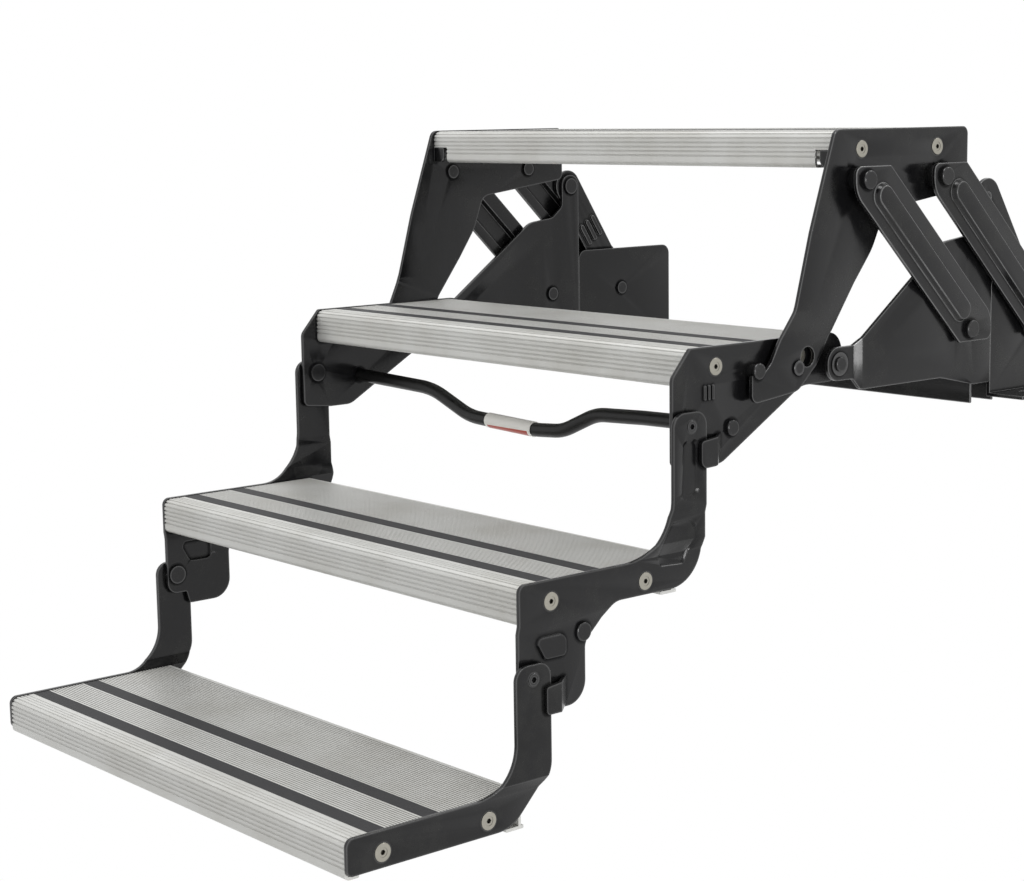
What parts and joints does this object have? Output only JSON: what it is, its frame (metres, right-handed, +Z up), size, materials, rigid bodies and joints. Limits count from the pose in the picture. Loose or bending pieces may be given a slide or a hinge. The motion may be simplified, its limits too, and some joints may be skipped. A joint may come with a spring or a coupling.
{
  "type": "camper entry step",
  "caption": "Folding entry steps: ribbed treads between hinged steel side plates, hung from a bolted frame on parallel swing links, with a pull handle.",
  "frame": {"origin": "centre of the four mounting bolt holes, on the lower face of the base flanges", "axes": "+X across the step, +Y rearwards into the vehicle, +Z up"},
  "size_m": [0.744, 1.0097, 0.6255],
  "materials": {
    "black_painted_steel": "semi-gloss",
    "black_coated_pins": "semi-gloss",
    "ribbed_aluminium": "anodised satin",
    "black_grit_strip": "matte grit",
    "bright_zinc_screws": "satin bright",
    "black_handle_coating": "satin",
    "printed_band": "white with a red stripe"
  },
  "bodies": {
    "base_frame": {"base_bracket_left": "black_painted_steel", "base_side_plate_left": "black_painted_steel", "base_rear_brace_left": "black_painted_steel", "base_bracket_right": "black_painted_steel", "base_side_plate_right": "black_painted_steel", "base_rear_brace_right": "black_painted_steel", "base_cross_member": "black_painted_steel", "base_pivot_pins": "black_coated_pins", "base_bracket_rivets": "black_coated_pins"},
    "front_links": {"front_link_left": "black_painted_steel", "front_link_right": "black_painted_steel"},
    "rear_links": {"rear_link_left": "black_painted_steel", "rear_link_right": "black_painted_steel"},
    "step_1": {"step_1_bracket_left": "black_painted_steel", "step_1_bracket_right": "black_painted_steel", "tread_1": "ribbed_aluminium", "tread_1_grip_strips": "black_grit_strip", "tread_1_screws": "bright_zinc_screws", "link_top_pins": "black_coated_pins", "link_spacers": "black_coated_pins"},
    "step_2": {"step_2_plate_left": "black_painted_steel", "step_2_plate_right": "black_painted_steel", "tread_2": "ribbed_aluminium", "tread_2_grip_strips": "black_grit_strip", "tread_2_screws": "bright_zinc_screws", "step_2_pivot_studs": "black_coated_pins", "step_2_pivot_spacers": "black_coated_pins", "step_2_stop_studs": "black_coated_pins", "pull_handle": "black_handle_coating", "pull_handle_band": "printed_band", "pull_handle_bolts": "black_coated_pins", "step_3_pivot_rivets": "black_coated_pins", "step_3_pivot_washers": "black_coated_pins"},
    "step_3": {"step_3_plate_left": "black_painted_steel", "step_3_plate_right": "black_painted_steel", "tread_3": "ribbed_aluminium", "tread_3_grip_strips": "black_grit_strip", "tread_3_screws": "bright_zinc_screws", "step_3_bump_stops": "black_coated_pins", "step_4_pivot_rivets": "black_coated_pins", "step_4_pivot_washers": "black_coated_pins"},
    "step_4": {"step_4_plate_left": "black_painted_steel", "step_4_plate_right": "black_painted_steel", "tread_4": "ribbed_aluminium", "tread_4_grip_strips": "black_grit_strip", "tread_4_screws": "bright_zinc_screws"}
  },
  "joints": [
    {"name": "stow_swing", "type": "hinge", "parent": "base_frame", "child": "front_links", "pos_m": [0, -0.136, 0.0775], "axis": [-1, 0, 0], "range_deg": [0, 80]},
    {"name": "step_1_level", "type": "hinge", "parent": "front_links", "child": "step_1", "pos_m": [0, -0.304, 0.2385], "axis": [-1, 0, 0], "range_deg": [-80, 0]},
    {"name": "rear_link_swing", "type": "hinge", "parent": "base_frame", "child": "rear_links", "pos_m": [0, -0.014, 0.0775], "axis": [-1, 0, 0], "range_deg": [0, 80]},
    {"name": "step_2_lift", "type": "hinge", "parent": "step_1", "child": "step_2", "pos_m": [0, -0.38, 0.056], "axis": [-1, 0, 0], "range_deg": [0, 5]},
    {"name": "step_3_fold", "type": "hinge", "parent": "step_2", "child": "step_3", "pos_m": [0, -0.525, 0.0126], "axis": [-1, 0, 0], "range_deg": [0, 165]},
    {"name": "step_4_fold", "type": "hinge", "parent": "step_3", "child": "step_4", "pos_m": [0, -0.726, -0.197], "axis": [-1, 0, 0], "range_deg": [0, 180]}
  ],
  "couplings": [
    {"joint": "step_1_level", "follows": "stow_swing", "ratio": -1},
    {"joint": "rear_link_swing", "follows": "stow_swing", "ratio": 1}
  ]
}
